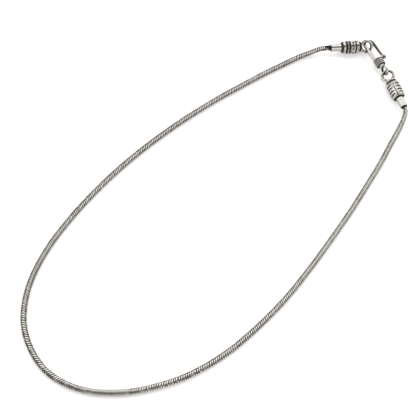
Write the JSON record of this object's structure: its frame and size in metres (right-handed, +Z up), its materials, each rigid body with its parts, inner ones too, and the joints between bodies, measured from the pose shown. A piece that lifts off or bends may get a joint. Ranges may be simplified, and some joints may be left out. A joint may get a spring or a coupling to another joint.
{
  "type": "snake chain necklace",
  "caption": "Round snake chain necklace lying fastened in its open loop, with capped ends, cast barrels and a wire hook clasp.",
  "frame": {"origin": "middle of the necklace's own box, on the surface that it lies on", "axes": "+X along the loop's long way towards the clasp, +Y across the loop, +Z up from the surface"},
  "size_m": [0.2074, 0.0856, 0.0058],
  "materials": {
    "chain_silver": "fine pressed links, blackened between them",
    "tube_silver": "polished silver with a blackened mouth",
    "cast_silver": "polished high spots, blackened grooves",
    "hook_silver": "polished wire, blackened between the turns"
  },
  "bodies": {
    "root": {"snake_chain": "chain_silver", "left_cap_tube": "tube_silver", "banded_barrel": "cast_silver", "clasp_hook": "hook_silver", "ribbed_barrel": "cast_silver", "right_cap_tube": "tube_silver"}
  },
  "joints": []
}
